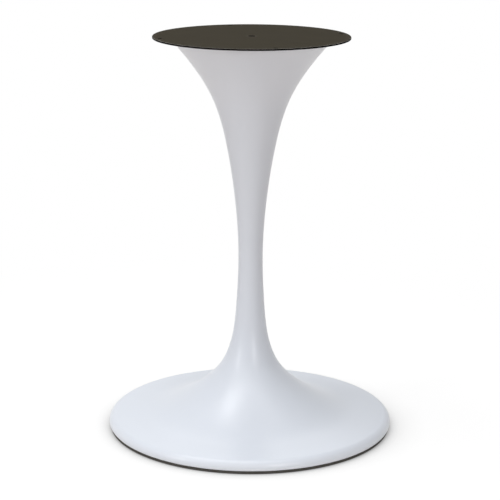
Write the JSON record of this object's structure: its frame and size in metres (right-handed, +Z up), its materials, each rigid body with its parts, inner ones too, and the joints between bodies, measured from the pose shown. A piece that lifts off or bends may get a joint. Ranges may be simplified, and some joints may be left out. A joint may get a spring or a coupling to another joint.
{
  "type": "table base",
  "caption": "Trumpet-shaped pedestal for a table: a slim waisted column that flares into a wide round foot, with a thin round steel plate on top that carries the table top.",
  "frame": {"origin": "on the floor, under the middle of the foot", "axes": "+Z up along the column's axis, -Y towards the side that the picture shows, +X to the right there"},
  "size_m": [0.52, 0.52, 0.72],
  "materials": {
    "white_coat": "smooth satin white coat on a casting",
    "ring_rubber": "matt black moulded rubber",
    "plate_paint": "thin matt black-brown paint on sheet steel",
    "zinc_plate": "dull zinc plating"
  },
  "bodies": {
    "root": {"pedestal": "white_coat", "foot_ring": "ring_rubber", "top_plate": "plate_paint", "plate_hub": "plate_paint", "tie_rod": "zinc_plate", "tie_rod_washer": "zinc_plate", "lock_washer": "zinc_plate", "tie_rod_nut": "zinc_plate"}
  },
  "joints": []
}
